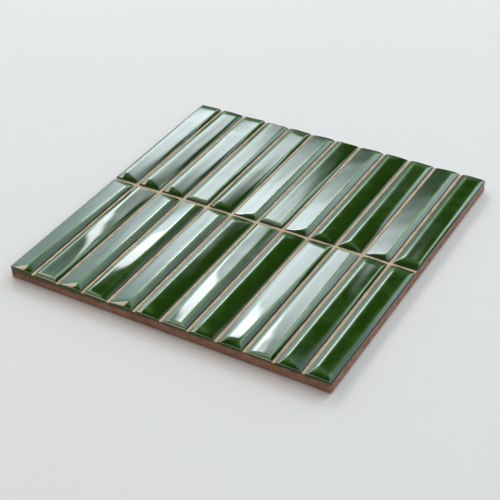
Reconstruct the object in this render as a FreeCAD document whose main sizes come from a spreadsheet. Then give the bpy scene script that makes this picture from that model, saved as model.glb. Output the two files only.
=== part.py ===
import FreeCAD, Part
import os
import Sketcher

# Pressed and fired wall tile, millimetres.
# Two rows of slim facetted bars stand on one square body; scored joints lie between them.
# The origin is at the middle of the back, +Z points out of the wall towards the glazed face,
# X runs across the bars and +Y from the near row to the far row.

DRIVING_SIZES = [
    ("tile_width", 200.0),
    ("tile_length", 200.0),
    ("bars_per_row", 12),
    ("joint_width", 2.0),
    ("cross_joint_width", 2.4),
    ("body_height", 6.7),
    ("rim_height", 0.5),
    ("relief_height", 2.1),
    ("tilt_height", 1.3),
    ("lean_height", 0.9),
    ("fall_height", 0.35),
    ("ridge_run", 3.8),
    ("splay_run", 1.2),
    ("bevel_run", 1.8),
    ("edge_run", 0.9),
    ("hip_run", 4.6),
    ("hip_peak", 0.5),
    ("blunt_run", 1.8),
    ("blunt_peak", 0.0),
    ("back_edge_chamfer", 0.8),
    ("key_margin", 9.0),
    ("key_width", 11.0),
    ("key_rib", 8.0),
    ("key_depth", 0.6),
]

doc = FreeCAD.newDocument("wall_tile")
sheet = doc.addObject("Spreadsheet::Sheet", "sizes")
for line, (alias, value) in enumerate(DRIVING_SIZES, start=1):
    sheet.set(f"A{line}", alias)
    sheet.set(f"B{line}", str(value))
    sheet.setAlias(f"B{line}", alias)
doc.recompute()


def worked_out(expression):
    """The value of an expression in the sheet's dimensions, in millimetres."""
    return float(sheet.evalExpression(expression))


# Sizes that follow from the driving ones

BAR_WIDTH = ("((sizes.tile_width - (sizes.bars_per_row - 1) * sizes.joint_width)"
             " / sizes.bars_per_row)")
BAR_LENGTH = "((sizes.tile_length - sizes.cross_joint_width) / 2)"
BAR_SPACING = f"({BAR_WIDTH} + sizes.joint_width)"
RIM_LEVEL = "(sizes.body_height + sizes.rim_height)"
LEFT_EDGE = "(-sizes.tile_width / 2)"
NEAR_EDGE = "(-sizes.tile_length / 2)"

# End sections of a bar
# Seen along the bar, an end section is a low trapezium on the rims: a slope up from the left
# rim, a top, and a slope down to the right rim. Each section gives the run of its left slope,
# the height of the crease above it, and the same for the right slope. The runs are widths in
# plan and the heights are measured from the rims.

NEAR = "sizes.ridge_run"
WIDER = "(sizes.ridge_run + sizes.splay_run)"
NARROWER = "(sizes.ridge_run - sizes.splay_run)"
BEVEL = "sizes.bevel_run"
EDGE = "sizes.edge_run"
FULL = "(sizes.relief_height - sizes.rim_height)"
TILT = "sizes.tilt_height"
LEAN = "sizes.lean_height"
FALL = "sizes.fall_height"

SECTIONS = {
    "ridge left": (NEAR, FULL, BEVEL, FALL),
    "ridge left set in": (WIDER, FULL, BEVEL, FALL),
    "ridge right": (BEVEL, FALL, NEAR, FULL),
    "ridge right set in": (BEVEL, FALL, WIDER, FULL),
    "ridge by right edge": (BEVEL, FALL, BEVEL, FULL),
    "lean right": (NEAR, FULL, BEVEL, LEAN),
    "lean right to slope": (NEAR, FULL, NARROWER, LEAN),
    "lean right on crown": (NARROWER, FULL, NEAR, LEAN),
    "lean left": (BEVEL, LEAN, EDGE, FULL),
    "lean left to edge": (NEAR, LEAN, EDGE, FULL),
    "lean left on crown": (NEAR, LEAN, NEAR, FULL),
    "lean left by slope": (NARROWER, LEAN, NEAR, FULL),
    "lean left with bevels": (NARROWER, LEAN, BEVEL, FULL),
    "tilt right": (NEAR, FULL, BEVEL, TILT),
    "tilt right to edge": (NEAR, FULL, EDGE, TILT),
    "tilt right on crown": (NARROWER, FULL, NEAR, TILT),
    "tilt left with bevels": (NARROWER, TILT, BEVEL, FULL),
    "level": (NEAR, FULL, EDGE, FULL),
    "level with bevels": (NARROWER, FULL, BEVEL, FULL),
}

# Each bar runs straight from its far section to its near one, so its top twists where the two
# differ. A hipped bar ends in two long facets that meet under the crown, which is the higher
# crease of its section: their rim peaks there, and their common edge climbs from the peak to
# the crown. A blunt bar ends in one short, steep slope. Each ending gives its run and its peak.

ENDINGS = {
    "hipped": ("sizes.hip_run", "sizes.hip_peak"),
    "blunt": ("sizes.blunt_run", "sizes.blunt_peak"),
}

FAR_ROW = [
    ("lean left", "ridge left", "hipped"),
    ("lean right", "ridge left", "hipped"),
    ("lean left", "ridge left", "hipped"),
    ("lean right", "level", "blunt"),
    ("level", "ridge left", "hipped"),
    ("ridge right", "ridge right", "hipped"),
    ("ridge left", "level with bevels", "blunt"),
    ("ridge right", "ridge right", "hipped"),
    ("ridge left", "ridge left", "hipped"),
    ("tilt right", "ridge left set in", "hipped"),
    ("ridge right", "ridge right", "hipped"),
    ("lean right", "tilt right to edge", "hipped"),
]
NEAR_ROW = [
    ("ridge by right edge", "ridge right set in", "hipped"),
    ("ridge left", "tilt left with bevels", "blunt"),
    ("ridge right", "ridge right", "hipped"),
    ("ridge right set in", "lean right on crown", "blunt"),
    ("ridge right", "ridge right", "hipped"),
    ("ridge left", "ridge left", "hipped"),
    ("tilt right on crown", "lean left by slope", "blunt"),
    ("ridge left", "ridge left", "hipped"),
    ("lean left to edge", "lean left on crown", "hipped"),
    ("lean left by slope", "lean left with bevels", "blunt"),
    ("tilt right to edge", "ridge left", "hipped"),
    ("lean right", "lean right to slope", "hipped"),
]


def closed_outline(sketch, corners):
    """Draws a closed outline of straight lines through its corners, joined end to end."""
    for side in range(len(corners)):
        following = (side + 1) % len(corners)
        sketch.addGeometry(Part.LineSegment(corners[side], corners[following]), False)
    for side in range(len(corners)):
        following = (side + 1) % len(corners)
        sketch.addConstraint(Sketcher.Constraint("Coincident", side, 2, following, 1))


def dimension(sketch, kind, first, second, expression):
    """A dimension of a sketch between two line ends, bound to an expression."""
    index = sketch.addConstraint(
        Sketcher.Constraint(kind, *first, *second, worked_out(expression)))
    sketch.setExpression(f"Constraints[{index}]", expression)


def origin_item(body, role):
    """One of a body's own origin planes or axes."""
    return [item for item in body.Origin.OriginFeatures if item.Role == role][0]


def rectangle_sketch(body, name, lift, low_x, low_y, width, length):
    """A sketch of one rectangle, parallel to the tile's back and lifted off it."""
    sketch = body.newObject("Sketcher::SketchObject", name)
    sketch.AttachmentSupport = [(origin_item(body, "XY_Plane"), "")]
    sketch.MapMode = "FlatFace"
    sketch.setExpression("AttachmentOffset.Base.z", lift)
    left, front = worked_out(low_x), worked_out(low_y)
    right, back = left + worked_out(width), front + worked_out(length)
    closed_outline(sketch, [FreeCAD.Vector(left, front, 0), FreeCAD.Vector(right, front, 0),
                            FreeCAD.Vector(right, back, 0), FreeCAD.Vector(left, back, 0)])
    for side, direction in enumerate(("Horizontal", "Vertical", "Horizontal", "Vertical")):
        sketch.addConstraint(Sketcher.Constraint(direction, side))
    dimension(sketch, "DistanceX", (-1, 1), (0, 1), low_x)
    dimension(sketch, "DistanceY", (-1, 1), (0, 1), low_y)
    dimension(sketch, "DistanceX", (0, 1), (0, 2), width)
    dimension(sketch, "DistanceY", (1, 1), (1, 2), length)
    return sketch


def pocket(body, name, sketch, depth, upwards=False):
    """A pocket cut from its sketch's plane into the body."""
    cut = body.newObject("PartDesign::Pocket", name)
    cut.Profile = sketch
    cut.Reversed = upwards
    cut.setExpression("Length", depth)
    doc.recompute()
    return cut


def copies_in_line(body, name, feature, axis, spacing, count):
    """Copies of one pocket at equal spacing along an axis."""
    copies = body.newObject("PartDesign::LinearPattern", name)
    copies.Originals = [feature]
    copies.Direction = (origin_item(body, axis), [""])
    copies.Mode = "Spacing"
    copies.setExpression("Offset", spacing)
    copies.Occurrences = count
    body.Tip = copies
    doc.recompute()


def body_slab(body):
    """The square slab up to the bars' rims, with a small chamfer round its back."""
    outline = rectangle_sketch(body, "body_outline", "0", LEFT_EDGE, NEAR_EDGE,
                               "sizes.tile_width", "sizes.tile_length")
    slab = body.newObject("PartDesign::Pad", "slab")
    slab.Profile = outline
    slab.setExpression("Length", RIM_LEVEL)
    doc.recompute()
    back_edges = [f"Edge{number}" for number, line in enumerate(slab.Shape.Edges, start=1)
                  if line.BoundBox.ZMax < slab.Length.Value / 2]
    chamfer = body.newObject("PartDesign::Chamfer", "back_edge")
    chamfer.Base = (slab, back_edges)
    chamfer.setExpression("Size", "sizes.back_edge_chamfer")
    doc.recompute()


def scored_joints(body):
    """The joints scored across the face: one between each two bars, one between the rows."""
    long_outline = rectangle_sketch(body, "joint_outline", RIM_LEVEL,
                                    f"{LEFT_EDGE} + {BAR_WIDTH}", NEAR_EDGE,
                                    "sizes.joint_width", "sizes.tile_length")
    first = pocket(body, "joint", long_outline, "sizes.rim_height")
    joints = int(worked_out("sizes.bars_per_row - 1"))
    copies_in_line(body, "joints", first, "X_Axis", BAR_SPACING, joints)
    cross_outline = rectangle_sketch(body, "cross_joint_outline", RIM_LEVEL,
                                     LEFT_EDGE, "-sizes.cross_joint_width / 2",
                                     "sizes.tile_width", "sizes.cross_joint_width")
    pocket(body, "cross_joint", cross_outline, "sizes.rim_height")


def keyed_back(body):
    """Shallow channels across the back, which the adhesive grips, inside a plain margin."""
    spacing = "(sizes.key_width + sizes.key_rib)"
    room = "(sizes.tile_length - 2 * sizes.key_margin + sizes.key_rib)"
    channels = int(worked_out(f"{room} / {spacing}"))
    low_y = f"-({channels} * {spacing} - sizes.key_rib) / 2"
    outline = rectangle_sketch(body, "key_outline", "0",
                               f"{LEFT_EDGE} + sizes.key_margin", low_y,
                               "sizes.tile_width - 2 * sizes.key_margin", "sizes.key_width")
    first = pocket(body, "key", outline, "sizes.key_depth", upwards=True)
    copies_in_line(body, "keys", first, "Y_Axis", spacing, channels)


def standing_sketch(name, across, along, corners):
    """A closed outline that stands on the rims, square to the bars, from one bar corner."""
    sketch = doc.addObject("Sketcher::SketchObject", name)
    sketch.Placement.Rotation = FreeCAD.Rotation(FreeCAD.Vector(1, 0, 0), 90)
    sketch.setExpression("Placement.Base.x", across)
    sketch.setExpression("Placement.Base.y", along)
    sketch.setExpression("Placement.Base.z", RIM_LEVEL)
    closed_outline(sketch, [FreeCAD.Vector(*corner, 0) for corner in corners])
    sketch.addConstraint(Sketcher.Constraint("Coincident", 0, 1, -1, 1))
    return sketch


def end_section(name, section, across, along):
    """A bar's end section."""
    left_run, left_height, right_run, right_height = SECTIONS[section]
    width = worked_out(BAR_WIDTH)
    sketch = standing_sketch(name, across, along, [
        (0, 0),
        (width, 0),
        (width - worked_out(right_run), worked_out(right_height)),
        (worked_out(left_run), worked_out(left_height)),
    ])
    sketch.addConstraint(Sketcher.Constraint("Horizontal", 0))
    dimension(sketch, "DistanceX", (0, 1), (0, 2), BAR_WIDTH)
    dimension(sketch, "DistanceX", (2, 1), (0, 2), right_run)
    dimension(sketch, "DistanceY", (0, 2), (2, 1), right_height)
    dimension(sketch, "DistanceX", (0, 1), (3, 1), left_run)
    dimension(sketch, "DistanceY", (0, 1), (3, 1), left_height)
    return sketch


def crown_place(section):
    """Distance of a section's crown, its higher crease, from the bar's left side."""
    left_run, left_height, right_run, right_height = SECTIONS[section]
    if worked_out(left_height) >= worked_out(right_height):
        return left_run
    return f"({BAR_WIDTH} - {right_run})"


def end_waste(name, section, ending, across, along, facing):
    """What is cut off one end of a bar to leave its facets.

    Its outline stands on the bar's end. Its under side is a low roof from both corners of the
    bar to the peak under the crown. It is drawn out along the slope, which climbs from the peak
    to the full height over the end's run. The near end faces 1 and the far end faces -1.
    """
    run, peak = ENDINGS[ending]
    crown = crown_place(section)
    tall = "2 * sizes.relief_height"
    width, height = worked_out(BAR_WIDTH), worked_out(tall)
    sketch = standing_sketch(f"{name}_outline", across, along, [
        (0, 0),
        (worked_out(crown), worked_out(peak)),
        (width, 0),
        (width, height),
        (0, height),
    ])
    sketch.addConstraint(Sketcher.Constraint("Horizontal", 0, 1, 1, 2))
    for side, direction in enumerate(("Vertical", "Horizontal", "Vertical"), start=2):
        sketch.addConstraint(Sketcher.Constraint(direction, side))
    dimension(sketch, "DistanceX", (0, 1), (0, 2), crown)
    dimension(sketch, "DistanceY", (0, 1), (0, 2), peak)
    dimension(sketch, "DistanceX", (0, 1), (1, 2), BAR_WIDTH)
    dimension(sketch, "DistanceY", (2, 1), (2, 2), tall)
    waste = doc.addObject("Part::Extrusion", name)
    waste.Base = sketch
    waste.Solid = True
    waste.DirMode = "Custom"
    waste.setExpression("Dir.y", f"{facing} * {run}")
    waste.setExpression("Dir.z", f"{FULL} - {peak}")
    waste.setExpression("LengthFwd", BAR_LENGTH)
    waste.setExpression("LengthRev", run)
    return waste


def facetted_bar(name, form, left, front):
    """One bar: a straight loft between its two end sections, with the waste cut off its ends."""
    far_section, near_section, ending = form
    ends = {
        "near": (near_section, front, 1),
        "far": (far_section, f"{front} + {BAR_LENGTH}", -1),
    }
    loft = doc.addObject("Part::Loft", f"{name}_loft")
    loft.Sections = [end_section(f"{name}_{side}_section", section, left, along)
                     for side, (section, along, facing) in ends.items()]
    loft.Solid = True
    loft.Ruled = True
    bar = loft
    for side, (section, along, facing) in ends.items():
        cut = doc.addObject("Part::Cut", f"{name}_{side}_end")
        cut.Base = bar
        cut.Tool = end_waste(f"{name}_{side}_waste", section, ending, left, along, facing)
        bar = cut
    return bar


def bar_row(row, front, forms):
    """The bars of one row, from the left."""
    bars = []
    for column in range(int(worked_out("sizes.bars_per_row"))):
        left = f"{LEFT_EDGE} + {column} * {BAR_SPACING}"
        form = forms[column % len(forms)]
        bars.append(facetted_bar(f"{row}_bar_{column + 1}", form, left, front))
    return bars


def wall_tile():
    """The whole tile in one piece: the scored and keyed body with its two rows of bars."""
    body = doc.addObject("PartDesign::Body", "tile_body")
    body_slab(body)
    scored_joints(body)
    keyed_back(body)
    tile = doc.addObject("Part::MultiFuse", "tile")
    tile.Shapes = ([body] + bar_row("near_row", NEAR_EDGE, NEAR_ROW)
                   + bar_row("far_row", "sizes.cross_joint_width / 2", FAR_ROW))
    tile.Refine = True
    tile.Label = "tile"
    return tile


tile = wall_tile()
doc.recompute()

failed = [item.Name for item in doc.Objects if {"Invalid", "Error"} & set(item.State)]
if failed:
    raise RuntimeError(f"objects that failed: {failed}")
if tile.Shape.isNull() or not tile.Shape.isValid() or len(tile.Shape.Solids) != 1:
    raise RuntimeError(f"{tile.Label} is not one valid solid")

os.makedirs("parts", exist_ok=True)
tile.Shape.exportStep(f"parts/{tile.Label}.step")
box = tile.Shape.BoundBox
print(tile.Label, round(box.XLength, 3), round(box.YLength, 3), round(box.ZLength, 3),
      "volume", round(tile.Shape.Volume, 1), "faces", len(tile.Shape.Faces))
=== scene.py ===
# %% [markdown]
# A green glazed wall tile
#
# The real tile is one square of pressed clay. Two rows of slim bars stand on its face, each bar
# cut like a gem into a few long facets, and the flat strips between the bars are left unglazed.
# Glaze is a glass: it shows little colour of its own where it mirrors something bright, and its
# full green where it mirrors something dark. So this lesson spends its effort on two things:
# the exact tilt of each facet, and the few bright windows that the facets mirror.
#
# The frame holds the tile as a solid at its real size. We load it and keep its box.

# %% Load the frame
import math

import bpy
import numpy as np
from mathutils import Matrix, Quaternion, Vector


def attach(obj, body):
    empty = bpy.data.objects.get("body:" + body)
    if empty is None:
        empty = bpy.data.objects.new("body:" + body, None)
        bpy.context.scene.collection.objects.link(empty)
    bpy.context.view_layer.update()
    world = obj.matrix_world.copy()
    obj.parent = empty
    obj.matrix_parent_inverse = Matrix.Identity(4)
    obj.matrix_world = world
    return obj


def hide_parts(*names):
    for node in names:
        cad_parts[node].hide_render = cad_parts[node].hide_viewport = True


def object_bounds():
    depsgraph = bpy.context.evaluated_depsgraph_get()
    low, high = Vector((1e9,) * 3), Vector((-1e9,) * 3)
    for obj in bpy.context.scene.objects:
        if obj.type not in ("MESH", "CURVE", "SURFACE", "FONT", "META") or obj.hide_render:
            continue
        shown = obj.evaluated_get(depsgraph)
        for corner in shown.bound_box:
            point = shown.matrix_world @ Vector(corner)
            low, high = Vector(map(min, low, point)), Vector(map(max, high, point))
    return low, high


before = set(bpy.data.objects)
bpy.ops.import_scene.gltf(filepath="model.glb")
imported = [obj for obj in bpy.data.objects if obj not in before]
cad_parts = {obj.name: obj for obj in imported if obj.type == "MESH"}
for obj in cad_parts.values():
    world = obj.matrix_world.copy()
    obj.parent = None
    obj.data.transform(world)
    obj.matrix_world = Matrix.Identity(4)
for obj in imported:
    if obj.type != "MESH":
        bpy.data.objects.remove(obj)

cad_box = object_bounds()
MM = 0.001
TILE = (cad_box[1].x - cad_box[0].x) / MM
FULL_HEIGHT = cad_box[1].z / MM
print("tile", round(TILE, 2), "mm square,", round(FULL_HEIGHT, 2), "mm high")

# %% [markdown]
# The camera
#
# The tile is seen from its near right side, about 37 degrees above the table, from 0.67 m away
# with a lens of about 87 mm. We place the camera on a sphere round a point on the tile's face,
# because an azimuth and an elevation are easier to think about than three coordinates. The
# picture has a slight roll, so we turn the camera about its own line of sight.

# %% Camera
LOOK_AT = Vector((10.0, -24.6, 6.7)) * MM
CAMERA_DISTANCE = 670.2 * MM
CAMERA_AZIMUTH = math.radians(31.92)
CAMERA_ELEVATION = math.radians(36.63)
CAMERA_ROLL = math.radians(-2.53)
LENS = 86.6


def direction(azimuth, elevation):
    """Unit vector towards a place on the sky: azimuth turns from -Y to +X, elevation lifts."""
    flat = math.cos(elevation)
    return Vector((math.sin(azimuth) * flat, -math.cos(azimuth) * flat, math.sin(elevation)))


lens_data = bpy.data.cameras.new("camera")
lens_data.lens = LENS
lens_data.clip_start = 0.05
camera = bpy.data.objects.new("camera", lens_data)
bpy.context.scene.collection.objects.link(camera)
sight = direction(CAMERA_AZIMUTH, CAMERA_ELEVATION)
camera.location = LOOK_AT + sight * CAMERA_DISTANCE
camera.rotation_mode = "QUATERNION"
upright = (-sight).to_track_quat("-Z", "Y")
camera.rotation_quaternion = upright @ Quaternion((0, 0, 1), CAMERA_ROLL)
bpy.context.scene.camera = camera
print("camera at", [round(value, 4) for value in camera.location])

# %% [markdown]
# The sections of a bar
#
# Cut across a bar and you see a low trapezium: a slope up from the left rim, a top, and a slope
# down to the right rim. Four numbers say all: how wide each slope is and how high it climbs.
# Most bars change from one section at the far end to another at the near end, so their tops
# twist slowly, and that twist is what makes the mirrored window slide along the bar. A few
# bars also lean a little more to one side than their sections say. We set those one by one and
# looked at the picture: how much at the bar's far end, in its middle and at its near end.

# %% Sizes of the relief, millimetres
BARS = 12
JOINT = 2.0
CROSS_JOINT = 2.4
JOINT_LEVEL = 6.7
RIM = 0.5
BAR_WIDTH = (TILE - (BARS - 1) * JOINT) / BARS
BAR_LENGTH = (TILE - CROSS_JOINT) / 2
FULL = FULL_HEIGHT - JOINT_LEVEL - RIM
TILT, LEAN, FALL = 1.3, 0.9, 0.35
WIDER, NEAR, NARROWER, BEVEL, EDGE = 5.0, 3.8, 2.6, 1.8, 0.9

SECTIONS = {
    "ridge left": (NEAR, FULL, BEVEL, FALL),
    "ridge left set in": (WIDER, FULL, BEVEL, FALL),
    "ridge right": (BEVEL, FALL, NEAR, FULL),
    "ridge right set in": (BEVEL, FALL, WIDER, FULL),
    "ridge by right edge": (BEVEL, FALL, BEVEL, FULL),
    "lean right": (NEAR, FULL, BEVEL, LEAN),
    "lean right to slope": (NEAR, FULL, NARROWER, LEAN),
    "lean right on crown": (NARROWER, FULL, NEAR, LEAN),
    "lean left": (BEVEL, LEAN, EDGE, FULL),
    "lean left to edge": (NEAR, LEAN, EDGE, FULL),
    "lean left on crown": (NEAR, LEAN, NEAR, FULL),
    "lean left by slope": (NARROWER, LEAN, NEAR, FULL),
    "lean left with bevels": (NARROWER, LEAN, BEVEL, FULL),
    "tilt right": (NEAR, FULL, BEVEL, TILT),
    "tilt right to edge": (NEAR, FULL, EDGE, TILT),
    "tilt right on crown": (NARROWER, FULL, NEAR, TILT),
    "tilt left with bevels": (NARROWER, TILT, BEVEL, FULL),
    "level": (NEAR, FULL, EDGE, FULL),
    "level with bevels": (NARROWER, FULL, BEVEL, FULL),
}
ENDINGS = {"hipped": (4.6, 0.5), "blunt": (1.8, 0.0)}

FAR_ROW = [
    ("lean left", "ridge left", "hipped"),
    ("lean right", "ridge left", "hipped"),
    ("lean left", "ridge left", "hipped"),
    ("lean right", "level", "blunt"),
    ("level", "ridge left", "hipped"),
    ("ridge right", "ridge right", "hipped"),
    ("ridge left", "level with bevels", "blunt"),
    ("ridge right", "ridge right", "hipped"),
    ("ridge left", "ridge left", "hipped"),
    ("tilt right", "ridge left set in", "hipped"),
    ("ridge right", "ridge right", "hipped"),
    ("lean right", "tilt right to edge", "hipped"),
]
NEAR_ROW = [
    ("ridge by right edge", "ridge right set in", "hipped"),
    ("ridge left", "tilt left with bevels", "blunt"),
    ("ridge right", "ridge right", "hipped"),
    ("ridge right set in", "lean right on crown", "blunt"),
    ("ridge right", "ridge right", "hipped"),
    ("ridge left", "ridge left", "hipped"),
    ("tilt right on crown", "lean left by slope", "blunt"),
    ("ridge left", "ridge left", "hipped"),
    ("lean left to edge", "lean left on crown", "hipped"),
    ("lean left by slope", "lean left with bevels", "blunt"),
    ("tilt right to edge", "ridge left", "hipped"),
    ("lean right", "lean right to slope", "hipped"),
]
# Leans in thousandths at the far end, the middle and the near end, by the bar's place from the
# left. A bar that isn't named has none.
NO_LEAN = (0, 0, 0)
FAR_LEANS = {1: (0, -30, 0), 3: (0, -30, 0), 6: (15, 15, 15), 8: (15, 15, 15), 11: (15, 15, 15)}
NEAR_LEANS = {9: (0, 0, -40)}
print("bars", round(BAR_WIDTH, 3), "x", BAR_LENGTH, "mm, relief", round(FULL, 2), "mm")

# %% [markdown]
# Facets that melt together
#
# A gem's facets meet in sharp creases. Under glaze the same creases are soft, because molten
# glass rounds every corner it runs over. The height of a bar is the lowest of its facet planes,
# and a soft minimum rounds the crease by a width that we choose. How sharply the surface bends
# down tells us where the creases are, which we keep. Glaze is thinner there, so it is lighter,
# and the creases are made lighter still by a painted highlight for the light they mirror.

# %% Soft minimum and facets
CREASE = 0.18
RIDGE_BEND = 0.40


def soft_minimum(planes, softness):
    """Minimum of several height fields, rounded where they cross.

    lowest - softness * log(sum of exp((lowest - plane) / softness)).
    """
    stack = np.stack(planes)
    lowest = stack.min(axis=0)
    return lowest - softness * np.log(np.exp((lowest - stack) / softness).sum(axis=0))


def sharpness(x, y, height):
    """How convex a height field is, from 0 on a plane to 1 on a ridge of the bars.

    The root of minus the sum of its second derivatives, over that of a ridge.
    """
    across, along = np.gradient(x, axis=1), np.gradient(y, axis=0)
    bend = (np.gradient(np.gradient(height, axis=1) / across, axis=1) / across
            + np.gradient(np.gradient(height, axis=0) / along, axis=0) / along)
    return np.sqrt(np.clip(-bend / RIDGE_BEND, 0, 1))


def crown_place(section):
    """Place across the bar of a section's crown, its higher crease."""
    left_run, left_height, right_run, right_height = SECTIONS[section]
    return left_run if left_height >= right_height else BAR_WIDTH - right_run


def end_facets(x, distance, section, ending):
    """The two planes that close a bar's end, meeting in a crease under the crown.

    Both climb with the distance from the end. Each also falls from the peak of the rim, under
    the crown, to its own side: peak * x / crown, and the same from the right.
    """
    run, peak = ENDINGS[ending]
    crown = crown_place(section)
    climb = (FULL - peak) * distance / run
    return [climb + peak * x / crown, climb + peak * (BAR_WIDTH - x) / (BAR_WIDTH - crown)]


def leaned(left_height, right_height, change):
    """Heights of the two creases after the right one gains a change on the left one.

    The higher of the two keeps its height: both shift by the difference of the maxima.
    """
    left, right = left_height - change / 2, right_height + change / 2
    shift = np.maximum(left_height, right_height) - np.maximum(left, right)
    return left + shift, right + shift


def lean_along(share, leans):
    """Lean in thousandths at a share of the length: the parabola through far, middle and near."""
    far, middle, near = leans
    return (near * (1 - share) * (1 - 2 * share) + middle * 4 * share * (1 - share)
            + far * share * (2 * share - 1))


def facets(x, y, form):
    """Height of a bar above its rims at x across and y along.

    The section at y lies between the near and the far section in the share y / length. Its
    slopes are height * x / run from each side, its top is the line between their upper ends.
    """
    far_section, near_section, ending, *leans = form
    share = y / BAR_LENGTH
    left_run, left_height, right_run, right_height = [
        near + (far - near) * share
        for near, far in zip(SECTIONS[near_section], SECTIONS[far_section])]
    top_width = BAR_WIDTH - left_run - right_run
    left_height, right_height = leaned(left_height, right_height,
                                       lean_along(share, leans) / 1000 * top_width)
    left = left_height * x / left_run
    right = right_height * (BAR_WIDTH - x) / right_run
    top = left_height + (right_height - left_height) * (x - left_run) / top_width
    near_end = end_facets(x, y, near_section, ending)
    far_end = end_facets(x, BAR_LENGTH - y, far_section, ending)
    return soft_minimum([left, top, right] + near_end + far_end, CREASE)


# %% [markdown]
# A grid that follows the creases
#
# A shape that is a function of two parameters needs its grid lines where it bends. Across the
# bar we split the lines into three spans, left slope, top and right slope, and let the spans
# follow the section as it changes along the bar. In each span the lines crowd towards both
# ends, like the cosine of evenly spaced angles. Along the bar they crowd towards its two ends.

# %% Grid lines
SLOPE_LINES, TOP_LINES = 13, 22
HIP_ZONE, HIP_LINES, LONG_LINES = 6.4, 34, 52
EVEN_SHARE = 0.35


def crowded(count):
    """Shares from 0 to 1 that crowd at both ends: half of 1 - cos(angle)."""
    return (1 - np.cos(np.linspace(0, math.pi, count + 1))) / 2


def eased(count):
    """Shares from 0 to 1 that crowd at the start only: even steps blended with their squares."""
    even = np.linspace(0, 1, count + 1)
    return EVEN_SHARE * even + (1 - EVEN_SHARE) * even ** 2


def bar_grid(form):
    """Plan coordinates of a bar's grid: rows run along the bar, columns across it."""
    far_section, near_section = form[:2]
    end = HIP_ZONE * eased(HIP_LINES)
    middle = np.linspace(HIP_ZONE, BAR_LENGTH - HIP_ZONE, LONG_LINES + 1)
    along = np.concatenate([end[:-1], middle, (BAR_LENGTH - end[:-1])[::-1]])[:, None]
    share = along / BAR_LENGTH
    near, far = SECTIONS[near_section], SECTIONS[far_section]
    left_run = near[0] + (far[0] - near[0]) * share
    right_run = near[2] + (far[2] - near[2]) * share
    slope, top = crowded(SLOPE_LINES)[None, :], crowded(TOP_LINES)[None, :]
    top_width = BAR_WIDTH - left_run - right_run
    across = np.concatenate([
        left_run * slope[:, :-1],
        left_run + top_width * top,
        BAR_WIDTH - right_run * slope[:, ::-1][:, 1:],
    ], axis=1)
    return across, np.broadcast_to(along, across.shape)


across, along = bar_grid(NEAR_ROW[0])
print("grid of one bar", across.shape, "about", 24 * 2 * across.size, "triangles in all")

# %% [markdown]
# Waves in the glaze
#
# No fired glaze is optically flat. It pulls into slow waves a few hundredths of a millimetre
# high, and they bend a mirrored window into streaks. We sum twelve slow sine waves and fourteen
# finer ones drawn out along the bars, all with seeded directions and phases, so that each run
# gives the same waves. The edge of the glaze wanders too.

# %% Waves
WAVE_SEED = 7
WAVE_HEIGHT = 0.012
STREAK_HEIGHT = 0.008
EDGE_SWELL, EDGE_WANDER = 0.10, 0.06
draw = np.random.default_rng(WAVE_SEED)


def wave_set(count, shortest, longest, stretch=1.0):
    """Seeded waves: frequencies along x and y, and phases. Stretch lengthens them along y."""
    lengths = np.exp(draw.uniform(math.log(shortest), math.log(longest), count))
    angles = draw.uniform(0, math.pi, count)
    across_rate = 2 * math.pi * np.cos(angles) / lengths
    along_rate = 2 * math.pi * np.sin(angles) / lengths / stretch
    return across_rate, along_rate, draw.uniform(0, 2 * math.pi, count), lengths / longest


def waves(x, y, rates):
    """Sum of sine waves, each with its own direction, length and phase, larger when longer."""
    across_rate, along_rate, phase, size = rates
    angle = x[..., None] * across_rate + y[..., None] * along_rate + phase
    return (np.sin(angle) * size).sum(axis=-1)


glaze_waves = wave_set(12, 9.0, 34.0, stretch=1.8)
streak_waves = wave_set(14, 2.6, 9.0, stretch=14.0)
edge_waves = wave_set(6, 6.0, 30.0)

# %% [markdown]
# Closing a grid into a solid
#
# Every piece here is a closed skin: a grid for its face, rings that run down its sides, and a
# closing face below. One helper takes the border of a grid in order, a second one joins rings.
# Face order matters: seen from outside, the corners of each face run counterclockwise.

# %% Mesh helpers


def border(values):
    """The outer loop of a grid's values, counterclockwise from its first corner."""
    return np.concatenate([values[0, :-1], values[:-1, -1], values[-1, :0:-1],
                           values[:0:-1, 0]])


def grid_faces(indices):
    """Four-sided faces of a grid of vertex numbers, facing up."""
    return np.stack([indices[:-1, :-1], indices[:-1, 1:], indices[1:, 1:], indices[1:, :-1]],
                    axis=-1).reshape(-1, 4)


def ring_faces(upper, lower):
    """Faces between two loops of vertex numbers, facing out."""
    return np.stack([upper, lower, np.roll(lower, -1), np.roll(upper, -1)], axis=-1)


def rounded_plan(x, y, half_width, half_length, radius):
    """Draws the corners of a rectangular grid, centred on 0, in to quarter circles.

    Inside a corner's square, the larger of the two distances from the square's inner corner
    becomes the distance itself: each is scaled by larger / hypotenuse.
    """
    over_x = np.maximum(np.abs(x) - (half_width - radius), 0)
    over_y = np.maximum(np.abs(y) - (half_length - radius), 0)
    reach = np.hypot(over_x, over_y)
    scale = np.where(reach > 0, np.maximum(over_x, over_y) / np.maximum(reach, 1e-9), 1.0)
    return (np.sign(x) * (np.abs(x) - over_x + over_x * scale),
            np.sign(y) * (np.abs(y) - over_y + over_y * scale))


def mesh_piece(name, vertices, faces, attributes, material):
    """A mesh object at the origin, in metres, with one number per vertex in each attribute."""
    mesh = bpy.data.meshes.new(name)
    mesh.from_pydata((vertices * MM).tolist(), [], faces)
    for label, values in attributes.items():
        layer = mesh.attributes.new(label, "FLOAT", "POINT")
        layer.data.foreach_set("value", np.ascontiguousarray(values, dtype=np.float32))
    mesh.shade_smooth()
    mesh.materials.append(material)
    piece = bpy.data.objects.new(name, mesh)
    bpy.context.scene.collection.objects.link(piece)
    print(name, len(mesh.vertices), "vertices,", len(mesh.polygons), "faces")
    return piece
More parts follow.
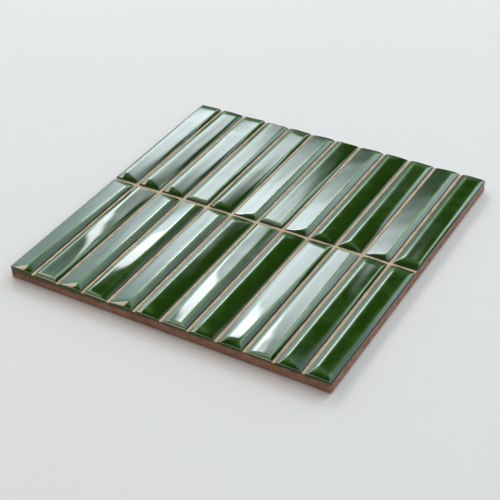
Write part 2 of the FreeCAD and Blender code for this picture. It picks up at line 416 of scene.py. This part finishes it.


# %% [markdown]
# The glaze, as a glassmaker sees it
#
# Three things give the glaze its look. Its colour depends on its thickness: cream where it
# breaks over an outer edge and the clay shows through, mint on the creases, deep green on the
# facets and nearly black where it pools at the foot of a bar. The cream on the front edge and the
# mint on the creases are also painted highlights, a lighter colour for the light those edges
# mirror.
# Its surface is almost a mirror, with a fine orange peel. And it is a little cloudy, so the green
# is never quite even. A colour ramp reads the thickness and these painted highlights, which we
# keep as one number at each vertex.

# %% Glaze material
# The cream and mint steps also serve as painted highlights, on the front edge and on the creases.
GLAZE_STEPS = [
    (0.00, (0.58, 0.42, 0.29)),
    (0.22, (0.24, 0.34, 0.19)),
    (0.45, (0.060, 0.130, 0.035)),
    (0.66, (0.014, 0.043, 0.002)),
    (0.88, (0.008, 0.025, 0.0015)),
    (1.00, (0.004, 0.011, 0.001)),
]


def new_material(name):
    """A material with its node tree emptied but for the output, and a function to add nodes."""
    material = bpy.data.materials.new(name)
    material.use_nodes = True
    nodes, links = material.node_tree.nodes, material.node_tree.links
    nodes.clear()
    output = nodes.new("ShaderNodeOutputMaterial")

    def add(kind, inputs=(), **settings):
        node = nodes.new(kind)
        for key, value in settings.items():
            setattr(node, key, value)
        for socket, value in dict(inputs).items():
            if isinstance(value, bpy.types.NodeSocket):
                links.new(value, node.inputs[socket])
            else:
                node.inputs[socket].default_value = value
        return node

    return material, output, add, links


def ramp(add, factor, steps):
    """A colour ramp through (position, colour) steps."""
    node = add("ShaderNodeValToRGB", {"Fac": factor})
    elements = node.color_ramp.elements
    while len(elements) < len(steps):
        elements.new(0.5)
    for element, (position, colour) in zip(elements, steps):
        element.position = position
        element.color = (*colour, 1)
    return node.outputs["Color"]


def glaze_material():
    """Glossy coloured glass over clay: a ramp on thickness and painted highlights, clouds in it,
    and orange peel.
    """
    material, output, add, links = new_material("green_glaze")
    place = add("ShaderNodeTexCoord").outputs["Object"]
    cover_and_highlight = add("ShaderNodeAttribute", attribute_name="cover_and_highlight").outputs["Fac"]
    clouds = add("ShaderNodeTexNoise", {"Vector": place, "Scale": 110.0, "Detail": 4.0,
                                        "Roughness": 0.55}).outputs["Fac"]
    cloudy = add("ShaderNodeMapRange", {"Value": clouds, "From Min": 0.3, "From Max": 0.7,
                                        "To Min": -0.05, "To Max": 0.05}).outputs["Result"]
    depth = add("ShaderNodeMath", {0: cover_and_highlight, 1: cloudy}, operation="ADD").outputs["Value"]
    drawn_out = add("ShaderNodeVectorMath", {0: place, 1: (1.0, 0.22, 1.0)},
                    operation="MULTIPLY").outputs["Vector"]
    peel = add("ShaderNodeTexNoise", {"Vector": drawn_out, "Scale": 330.0, "Detail": 1.0,
                                      "Roughness": 0.4}).outputs["Fac"]
    bump = add("ShaderNodeBump", {"Height": peel, "Strength": 0.04, "Distance": 0.0004})
    gloss = add("ShaderNodeMapRange", {"Value": clouds, "From Min": 0.3, "From Max": 0.7,
                                       "To Min": 0.03, "To Max": 0.05}).outputs["Result"]
    shader = add("ShaderNodeBsdfPrincipled", {
        "Base Color": ramp(add, depth, GLAZE_STEPS), "Roughness": gloss, "IOR": 1.5,
        "Normal": bump.outputs["Normal"]})
    links.new(shader.outputs["BSDF"], output.inputs["Surface"])
    return material


glaze = glaze_material()
print("glaze ramp of", len(GLAZE_STEPS), "steps")

# %% [markdown]
# Building the bars
#
# Each bar is one closed skin of glaze. Its edge rises from the joint in a quarter round, its
# face carries the facets and the waves, and its skirt goes a little way into the clay so that
# no gap opens. On the tile's outer sides the skirt hangs lower, because glaze ran over the edge
# there before it froze. All twelve bars of a row become one mesh.

# %% One bar
EDGE_ROUND = 0.55
FACET_ROUND = 0.30
BAR_CORNER = 0.6
TILE_CORNER = 1.3
SINK = 0.3
INSET = 0.45
RUN_OVER = (0.2, 0.8)
# Along the tile's front edge the glaze turns cream. Part of this is thinner glaze over the edge,
# and part is a painted highlight, stronger on blunt ends.
EDGE_BREAK_AND_HIGHLIGHT = {"hipped": 0.5, "blunt": 0.85}
OUTER_TAPER = 1.6
WAVE_FADE = 2.0
WANDER_FADE = 0.8
RUN_RIPPLE, LEAST_RUN = 0.16, 0.1
HEM_DROP = 0.1
FACE_SHARE = 0.985
TOP_CLEARANCE = 0.002

# Thickness of the glaze, with painted highlights on the creases and the front edge, as the
# number that the colour ramp reads, and where it changes.
FACET_COVER = 0.66
# On the creases the colour is lighter for two reasons: thinner glaze, and a painted highlight.
CREASE_THINNING_AND_HIGHLIGHT, CREASE_POWER = 0.38, 1.4
CREASE_RISE = (0.25, 0.9)
# Place and width, from the front edge, of that cream line of thinner glaze and painted highlight.
EDGE_LINE_PLACE, EDGE_LINE_WIDTH = 0.35, 0.28
FOOT_COVER, FOOT_REACH = 0.16, 0.7
LOW_COVER, LOW_RANGE = 0.10, (0.1, 1.3)
SIDE_COVER = 0.1
FAR_OFF = 99.0


def quarter_round(distance, radius):
    """Share of the full height on a quarter circle: the root of 1 - (1 - distance/radius)^2."""
    inward = 1 - np.clip(distance / radius, 0, 1)
    return np.sqrt(1 - inward ** 2)


def smooth_step(value, start, end):
    """0 before start, 1 after end, and 3 t^2 - 2 t^3 between."""
    share = np.clip((value - start) / (end - start), 0, 1)
    return share * share * (3 - 2 * share)


def glazed_bar(form, left, front, outer):
    """Vertices, faces, and thickness numbers of one bar of glaze, with painted highlights in
    them.

    outer holds, for the bar's left, right, front and back sides, 1 where that side is on the
    tile's outside and 0 where it faces a joint.
    """
    across, along = bar_grid(form)
    facet = facets(across, along, form)
    crease = sharpness(across, along, facet) * smooth_step(facet, *CREASE_RISE)
    half = (BAR_WIDTH / 2, BAR_LENGTH / 2)
    x, y = across - half[0], along - half[1]
    inward = np.minimum(half[0] - np.abs(x), half[1] - np.abs(y))
    world_x, world_y = x + left + half[0], y + front + half[1]
    swell = (waves(world_x, world_y, glaze_waves) * WAVE_HEIGHT
             + waves(world_x, world_y, streak_waves) * STREAK_HEIGHT)
    height = (JOINT_LEVEL + RIM * quarter_round(inward, EDGE_ROUND)
              + facet * quarter_round(inward, FACET_ROUND) * FACE_SHARE
              + swell * smooth_step(inward, 0, WAVE_FADE))
    height = np.minimum(height, FULL_HEIGHT - TOP_CLEARANCE)

    outside_x = np.where(x < 0, outer[0], outer[1])
    outside_y = np.where(y < 0, outer[2], outer[3])
    corner = np.where((outside_x > 0) & (outside_y > 0), TILE_CORNER, BAR_CORNER)
    plan_x, plan_y = rounded_plan(x, y, *half, corner)
    wander = EDGE_SWELL + waves(world_x, world_y, edge_waves) * EDGE_WANDER
    wander *= np.exp(-inward / WANDER_FADE)
    plan_x += wander * np.sign(x) * (1 - outside_x) * smooth_step(np.abs(x), 0, half[0])
    plan_y += wander * np.sign(y) * (1 - outside_y) * smooth_step(np.abs(y), 0, half[1])

    # less glaze on creases and the tile's front edge, plus painted highlights there, more at the
    # foot of the bar
    thin_and_highlight = CREASE_THINNING_AND_HIGHLIGHT * crease ** CREASE_POWER
    # a cream line on the front edge: thinner glaze, and a painted highlight
    front_edge_lightening = EDGE_BREAK_AND_HIGHLIGHT[form[2]] * outer[2]
    to_front = np.where(y < 0, half[1] + y, FAR_OFF)
    broken_and_highlight = front_edge_lightening * np.exp(-((to_front - EDGE_LINE_PLACE) / EDGE_LINE_WIDTH) ** 2)
    foot = FOOT_COVER * np.exp(-inward / FOOT_REACH)
    low = LOW_COVER * (1 - smooth_step(facet, *LOW_RANGE))
    cover_and_highlight = np.clip(FACET_COVER - thin_and_highlight - broken_and_highlight + foot + low, 0, 1)

    count = height.size
    top = np.stack([plan_x + left + half[0], plan_y + front + half[1], height], axis=-1)
    numbers = np.arange(count).reshape(height.shape)
    loop = border(numbers)
    edge = top.reshape(-1, 3)[loop]
    along_side = border(np.where(outside_x > 0, half[1] - np.abs(y), 0.0)
                        * (half[0] - np.abs(x) < 1e-6))
    along_front = border(np.where(outside_y > 0, half[0] - np.abs(x), 0.0)
                         * (half[1] - np.abs(y) < 1e-6))
    both = border((outside_x > 0) & (outside_y > 0))
    free = np.maximum(smooth_step(np.maximum(along_side, along_front), 0, OUTER_TAPER), both)
    ripple = waves(edge[:, 0], edge[:, 1], edge_waves)
    run_over = np.clip(RUN_OVER[0] + RUN_RIPPLE * (ripple + 1), LEAST_RUN, RUN_OVER[1])
    run = SINK + free * run_over
    skirt = edge.copy()
    skirt[:, 2] = JOINT_LEVEL - run
    hem = edge.copy()
    hem[:, 2] = JOINT_LEVEL - SINK - HEM_DROP
    centre = np.array([left + half[0], front + half[1]])
    hem[:, :2] -= (hem[:, :2] - centre) * INSET / np.array(half)
    first, second = count + np.arange(len(loop)), count + len(loop) + np.arange(len(loop))
    faces = (grid_faces(numbers).tolist() + ring_faces(loop, first).tolist()
             + ring_faces(first, second).tolist() + [second[::-1].tolist()])
    vertices = np.concatenate([top.reshape(-1, 3), skirt, hem])
    side_cover_and_highlight = np.clip(border(cover_and_highlight) + SIDE_COVER, 0, 1)
    return vertices, faces, np.concatenate([cover_and_highlight.ravel(), side_cover_and_highlight, side_cover_and_highlight])


# %% Rows of bars


def bar_row(name, forms, leans, front, outer_front, outer_back):
    """One mesh of the glaze on a whole row, its front line at y = front."""
    vertices, faces, cover_and_highlight, used = [], [], [], 0
    for column, sections in enumerate(forms):
        form = (*sections, *leans.get(column + 1, NO_LEAN))
        left = -TILE / 2 + column * (BAR_WIDTH + JOINT)
        outer = (float(column == 0), float(column == BARS - 1), outer_front, outer_back)
        points, quads, thickness = glazed_bar(form, left, front, outer)
        vertices.append(points)
        faces += [[used + number for number in face] for face in quads]
        cover_and_highlight.append(thickness)
        used += len(points)
    return mesh_piece(name, np.concatenate(vertices), faces, {"cover_and_highlight": np.concatenate(cover_and_highlight)},
                      glaze)


near_row = bar_row("near_row_glaze", NEAR_ROW, NEAR_LEANS, -TILE / 2, 1.0, 0.0)
far_row = bar_row("far_row_glaze", FAR_ROW, FAR_LEANS, CROSS_JOINT / 2, 0.0, 1.0)
for row in (near_row, far_row):
    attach(row, "root")
    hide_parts("tile")

# %% [markdown]
# The biscuit
#
# Fired clay without glaze is called biscuit. Here it is the floor of the joints, the four sides
# and the keyed back. Its floor is pale and flat. Its sides are redder, and darker too as painted
# shade for the light they miss, with a brown-green stain along the top where glaze crept over
# the edge. The back has shallow channels that grip the adhesive; a pressing mould needs sloping
# walls, so the channels get them.

# %% Biscuit material


def biscuit_material():
    """Matte fired clay: pale on the joints' floor, redder on the sides and darker there as
    painted shade, stained at the top.
    """
    material, output, add, links = new_material("fired_biscuit")
    place = add("ShaderNodeTexCoord").outputs["Object"]
    side = add("ShaderNodeAttribute", attribute_name="side").outputs["Fac"]
    stain = add("ShaderNodeAttribute", attribute_name="stain").outputs["Fac"]
    blotch = add("ShaderNodeTexNoise", {"Vector": place, "Scale": 160.0, "Detail": 6.0,
                                        "Roughness": 0.65}).outputs["Fac"]
    floor_colour = ramp(add, blotch, [(0.30, (0.38, 0.27, 0.165)), (0.50, (0.50, 0.380, 0.240)),
                                      (0.72, (0.59, 0.48, 0.33))])
    # The sides' colour: the redder clay, darkened by painted shade for the light the sides miss.
    side_colour_with_shade = ramp(add, blotch, [(0.30, (0.20, 0.085, 0.050)), (0.52, (0.33, 0.165, 0.105)),
                                     (0.75, (0.42, 0.23, 0.15))])
    clay = add("ShaderNodeMix", {"Factor": side, 6: floor_colour, 7: side_colour_with_shade},
               data_type="RGBA").outputs[2]
    ragged = add("ShaderNodeTexNoise", {"Vector": place, "Scale": 240.0, "Detail": 5.0,
                                        "Roughness": 0.6}).outputs["Fac"]
    spread = add("ShaderNodeMath", {0: ragged, 1: -0.5}, operation="ADD").outputs["Value"]
    edge = add("ShaderNodeMath", {0: spread, 1: 1.3, 2: stain},
               operation="MULTIPLY_ADD").outputs["Value"]
    mask = add("ShaderNodeMapRange", {"Value": edge, "From Min": 0.42, "From Max": 0.62})
    mask = mask.outputs["Result"]
    colour = add("ShaderNodeMix", {"Factor": mask, 6: clay, 7: (0.105, 0.070, 0.020, 1)},
                 data_type="RGBA").outputs[2]
    rough = add("ShaderNodeMapRange", {"Value": mask, "To Min": 0.88, "To Max": 0.5})
    grain = add("ShaderNodeTexNoise", {"Vector": place, "Scale": 1500.0, "Detail": 5.0,
                                       "Roughness": 0.7}).outputs["Fac"]
    bump = add("ShaderNodeBump", {"Height": grain, "Strength": 0.35, "Distance": 0.0003})
    shader = add("ShaderNodeBsdfPrincipled", {
        "Base Color": colour, "Roughness": rough.outputs["Result"], "IOR": 1.45,
        "Normal": bump.outputs["Normal"]})
    links.new(shader.outputs["BSDF"], output.inputs["Surface"])
    return material


biscuit = biscuit_material()

# %% Biscuit body
BODY_INSET = 0.12
BACK_CHAMFER = 0.8
TOP_ROUND = 0.4
BODY_HALF = TILE / 2 - BODY_INSET
KEY_MARGIN, KEY_WIDTH, KEY_RIB, KEY_DEPTH, KEY_DRAFT = 9.0, 11.0, 8.0, 0.6, 0.35
STAIN_DEPTH = 1.2
STAIN_SHARE, CORNER_SHARE, CORNER_REACH = 0.6, 2.4, 70
STAIN_START, STAIN_FALL = 1.1, 0.6
SIDE_START, SIDE_END = 0.05, 0.45
SHARP_ANGLE = 32

# The slab's grid: lines at these distances from its border, and evenly spaced ones between.
BORDER_LINES = [1.4, 1.0, 0.7, 0.45, 0.2, 0.0]
EVEN_REACH, EVEN_LINES = 80, 17
ROUND_STEPS, SIDE_STEPS = 5, 8


def slab_lines(inner, half):
    """Grid lines of the slab: fixed inner lines, and lines near the border that follow it."""
    near_border = half - np.array(BORDER_LINES)
    return np.concatenate([-near_border[::-1], inner, near_border])


def trapezium_groove(position, low, high):
    """1 between low and high, falling to 0 over the draft just inside each of them."""
    return np.clip(np.minimum(position - low, high - position) / KEY_DRAFT, 0, 1)


def slab_plan(inset):
    """Plan grid of the slab drawn in by an inset, with its corners round."""
    half = BODY_HALF - inset
    x, y = np.meshgrid(slab_lines(inner_x, half), slab_lines(inner_y, half))
    return rounded_plan(x, y, half, half, TILE_CORNER - inset)


key_spacing = KEY_WIDTH + KEY_RIB
key_count = int((TILE - 2 * KEY_MARGIN + KEY_RIB) / key_spacing)
key_lows = -(key_count * key_spacing - KEY_RIB) / 2 + np.arange(key_count) * key_spacing
key_end = TILE / 2 - KEY_MARGIN
even_x = np.linspace(-EVEN_REACH, EVEN_REACH, EVEN_LINES)
inner_x = np.array([-key_end, -key_end + KEY_DRAFT, *even_x, key_end - KEY_DRAFT, key_end])
inner_y = np.concatenate([low + np.array([0, KEY_DRAFT, KEY_WIDTH - KEY_DRAFT, KEY_WIDTH])
                          for low in key_lows])
print(key_count, "channels across the back")

top_x, top_y = slab_plan(TOP_ROUND)
back_x, back_y = slab_plan(BACK_CHAMFER)
groove = sum(trapezium_groove(back_y, low, low + KEY_WIDTH) for low in key_lows)
back_z = KEY_DEPTH * groove * trapezium_groove(back_x, -key_end, key_end)
turns = np.linspace(0, math.pi / 2, ROUND_STEPS + 1)[1:]
side_levels = np.linspace(JOINT_LEVEL - TOP_ROUND, BACK_CHAMFER, SIDE_STEPS + 1)[1:]
side_profile = [(TOP_ROUND * (1 - math.sin(turn)), JOINT_LEVEL - TOP_ROUND * (1 - math.cos(turn)))
                for turn in turns]
side_profile += [(0.0, level) for level in side_levels]

rings = []
for inset, level in side_profile:
    ring_x, ring_y = slab_plan(inset)
    rings.append(np.stack([border(ring_x), border(ring_y), np.full(border(ring_x).shape, level)],
                          axis=-1))
top = np.stack([top_x, top_y, np.full(top_x.shape, JOINT_LEVEL)], axis=-1).reshape(-1, 3)
back = np.stack([back_x, back_y, back_z], axis=-1).reshape(-1, 3)
top_numbers = np.arange(top_x.size).reshape(top_x.shape)
back_numbers = top_x.size + top_numbers
loops = [border(top_numbers)]
loops += [2 * top_x.size + step * len(loops[0]) + np.arange(len(loops[0]))
          for step in range(len(rings))]
loops.append(border(back_numbers))
faces = grid_faces(top_numbers).tolist() + grid_faces(back_numbers)[:, ::-1].tolist()
for upper, lower in zip(loops, loops[1:]):
    faces += ring_faces(upper, lower).tolist()
vertices = np.concatenate([top, back] + rings)
sideness = 1 - smooth_step(vertices[:, 2], JOINT_LEVEL - SIDE_END, JOINT_LEVEL - SIDE_START)
from_corner = np.hypot(vertices[:, 0] + TILE / 2, vertices[:, 1] + TILE / 2)
left_corner = np.exp(-from_corner / CORNER_REACH)
stain_depth = STAIN_DEPTH * (STAIN_SHARE + CORNER_SHARE * left_corner)
depth = (JOINT_LEVEL - vertices[:, 2]) / stain_depth
stain = np.clip(STAIN_START - STAIN_FALL * depth, 0, 1) * sideness
body = mesh_piece("biscuit_body", vertices, faces, {"side": sideness, "stain": stain}, biscuit)
body.data.set_sharp_from_angle(angle=math.radians(SHARP_ANGLE))
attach(body, "root")
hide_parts("tile")

# %% [markdown]
# The table and the light
#
# The tile lies on a plain pale table. Gloss is made by what surrounds it. A long skylight behind
# the tile, across from the camera, gives the broad white reflections, and a pale wall below it
# on the left fills the slopes that face left. A high and a low window on the right light the
# slopes that face right, and a small warm panel on the left is mirrored by the near hips alone.
# The rest of the room stays dim, so that the green can show. Soft lights in front, on the right
# and overhead bring the plain level of light at which a colour renders about as it is written.
# No long facet mirrors them, and of the steep ones only near ends of bars do.

# %% Table
TABLE_HALF = 3.0
table_mesh = bpy.data.meshes.new("table")
table_mesh.from_pydata([(-TABLE_HALF, -TABLE_HALF, 0), (TABLE_HALF, -TABLE_HALF, 0),
                        (TABLE_HALF, TABLE_HALF, 0), (-TABLE_HALF, TABLE_HALF, 0)],
                       [], [(0, 1, 2, 3)])
table = bpy.data.objects.new("table", table_mesh)
bpy.context.scene.collection.objects.link(table)
table_paint, table_output, add, links = new_material("pale_table")
table_shader = add("ShaderNodeBsdfPrincipled", {"Base Color": (0.71, 0.685, 0.675, 1),
                                                "Roughness": 0.7})
links.new(table_shader.outputs["BSDF"], table_output.inputs["Surface"])
table_mesh.materials.append(table_paint)

# %% Lamps
# Each lamp: name, azimuth from +Y towards +X, elevation, width and height as angles, turn,
# softness of its edge, radiance and colour. The first five lamps are not chosen by hand: but
# for their colours, most of their numbers are what a search on the reflections in the photo
# found, rounded.
LAMPS = [
    ("skylight", -35, 32, 35, 16, 45, 0.8, 8.5, (0.85, 0.95, 1.0)),
    ("skylight_pane", -40, 35, 5, 10, -25, 0.4, 11.0, (0.95, 0.98, 1.0)),
    ("pale_wall", -55, 20, 60, 50, 60, 0.8, 2.5, (0.75, 0.95, 1.0)),
    ("window_behind", 20, 60, 40, 45, 55, 0.5, 2.5, (0.75, 0.92, 1.0)),
    ("window_right", 15, 25, 40, 45, -15, 0.4, 5.0, (0.75, 0.92, 1.0)),
    ("soft_panel_front", -130, 45, 40, 40, 0, 0.5, 1.4, (1.0, 0.98, 0.95)),
    ("soft_panel_right", 105, 35, 35, 30, 0, 0.5, 3.0, (1.0, 0.97, 0.93)),
    ("warm_panel_left", -65, 45, 20, 15, -50, 0.4, 9.0, (1.0, 0.78, 0.66)),
    ("soft_overhead", 0, 90, 35, 35, 0, 0.6, 2.4, (1.0, 0.96, 0.90)),
]
LAMP_DISTANCE = 4.0


def soft_edges(lamp, softness):
    """Fades a lamp towards its edges: smooth(t) across times smooth(t) along.

    t is 0 on an edge and 1 from the share softness of the way to the middle.
    """
    lamp.use_nodes = True
    nodes, links = lamp.node_tree.nodes, lamp.node_tree.links
    place = nodes.new("ShaderNodeNewGeometry")
    split = nodes.new("ShaderNodeSeparateXYZ")
    links.new(place.outputs["Parametric"], split.inputs["Vector"])
    fades = []
    for axis in ("X", "Y"):
        off = nodes.new("ShaderNodeMath")
        off.operation = "SUBTRACT"
        off.inputs[1].default_value = 0.5
        links.new(split.outputs[axis], off.inputs[0])
        size = nodes.new("ShaderNodeMath")
        size.operation = "ABSOLUTE"
        links.new(off.outputs["Value"], size.inputs[0])
        fade = nodes.new("ShaderNodeMapRange")
        fade.interpolation_type = "SMOOTHSTEP"
        fade.inputs["From Min"].default_value = 0.5
        fade.inputs["From Max"].default_value = 0.5 - softness / 2
        links.new(size.outputs["Value"], fade.inputs["Value"])
        fades.append(fade.outputs["Result"])
    both = nodes.new("ShaderNodeMath")
    both.operation = "MULTIPLY"
    for socket, fade in enumerate(fades):
        links.new(fade, both.inputs[socket])
    links.new(both.outputs["Value"], nodes["Emission"].inputs["Strength"])


def area_lamp(name, azimuth, elevation, wide, tall, turn, softness, radiance, colour):
    """A soft lamp of a given radiance that spans given angles as the tile sees it.

    Its sides are 2 distance tan(angle / 2), and its power is pi * area * radiance. A turn lifts
    the side of the larger azimuth.
    """
    lamp = bpy.data.lights.new(name, "AREA")
    lamp.shape = "RECTANGLE"
    lamp.size = 2 * LAMP_DISTANCE * math.tan(math.radians(wide) / 2)
    lamp.size_y = 2 * LAMP_DISTANCE * math.tan(math.radians(tall) / 2)
    lamp.energy = math.pi * lamp.size * lamp.size_y * radiance
    lamp.color = colour
    soft_edges(lamp, softness)
    holder = bpy.data.objects.new(name, lamp)
    bpy.context.scene.collection.objects.link(holder)
    holder.visible_camera = False
    way = direction(math.pi - math.radians(azimuth), math.radians(elevation))
    holder.location = way * LAMP_DISTANCE
    holder.rotation_mode = "QUATERNION"
    turned = Quaternion((0, 0, 1), -math.radians(turn))
    holder.rotation_quaternion = way.to_track_quat("Z", "Y") @ turned
    return holder


for lamp in LAMPS:
    area_lamp(*lamp)

# %% Room
# Pale near the horizon, dim above.
ROOM_STEPS = [(0.50, (0.62, 0.62, 0.62)), (0.62, (0.20, 0.21, 0.21)), (0.72, (0.04, 0.04, 0.04)),
              (1.0, (0.03, 0.03, 0.03))]
world = bpy.data.worlds.new("room")
world.use_nodes = True
bpy.context.scene.world = world
world_nodes, world_links = world.node_tree.nodes, world.node_tree.links
sky_place = world_nodes.new("ShaderNodeTexCoord")
sky_split = world_nodes.new("ShaderNodeSeparateXYZ")
world_links.new(sky_place.outputs["Generated"], sky_split.inputs["Vector"])
sky_height = world_nodes.new("ShaderNodeMapRange")
sky_height.inputs["From Min"].default_value = -1.0
world_links.new(sky_split.outputs["Z"], sky_height.inputs["Value"])
sky_ramp = world_nodes.new("ShaderNodeValToRGB")
world_links.new(sky_height.outputs["Result"], sky_ramp.inputs["Fac"])
while len(sky_ramp.color_ramp.elements) < len(ROOM_STEPS):
    sky_ramp.color_ramp.elements.new(0.9)
for element, (position, colour) in zip(sky_ramp.color_ramp.elements, ROOM_STEPS):
    element.position = position
    element.color = (*colour, 1)
world_links.new(sky_ramp.outputs["Color"], world_nodes["Background"].inputs["Color"])
bpy.context.scene.view_settings.view_transform = "Standard"
